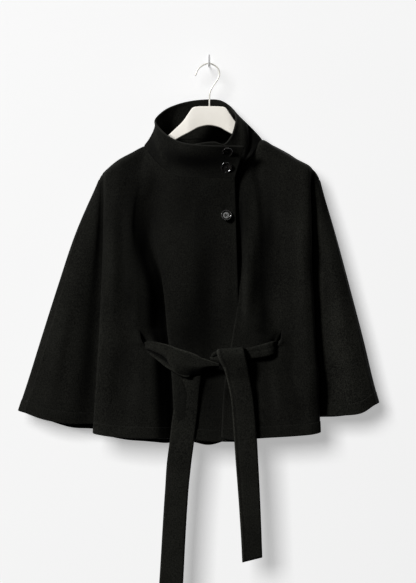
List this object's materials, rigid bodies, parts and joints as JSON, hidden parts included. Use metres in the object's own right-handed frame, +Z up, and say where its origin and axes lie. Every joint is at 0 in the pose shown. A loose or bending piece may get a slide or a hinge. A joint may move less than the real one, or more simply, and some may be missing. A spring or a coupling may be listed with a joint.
{
  "type": "belted jacket on a hanger",
  "caption": "Black wool cape jacket with wide cut-in-one sleeves, funnel collar, buttoned overlap and tied belt, hanging on a hanger.",
  "frame": {"origin": "inner top of the hanger's hook, where a rail or wall hook carries it", "axes": "+Z up, -Y towards the viewer of the front, +X towards the wearer's left"},
  "size_m": [0.7752, 0.128, 1.1559],
  "materials": {
    "wool": "matte brushed wool",
    "button": "polished dark plastic",
    "hanger": "satin ivory",
    "wire": "satin pale coat"
  },
  "bodies": {
    "root": {"front_right": "wool", "front_left": "wool", "back": "wool", "collar": "wool", "belt_right_run": "wool", "belt_left_run": "wool", "belt_inside": "wool", "belt_knot": "wool", "belt_left_end": "wool", "belt_right_end": "wool", "button_top": "button", "button_middle": "button", "button_lower": "button", "hanger": "hanger", "hanger_hook": "wire"}
  },
  "joints": []
}
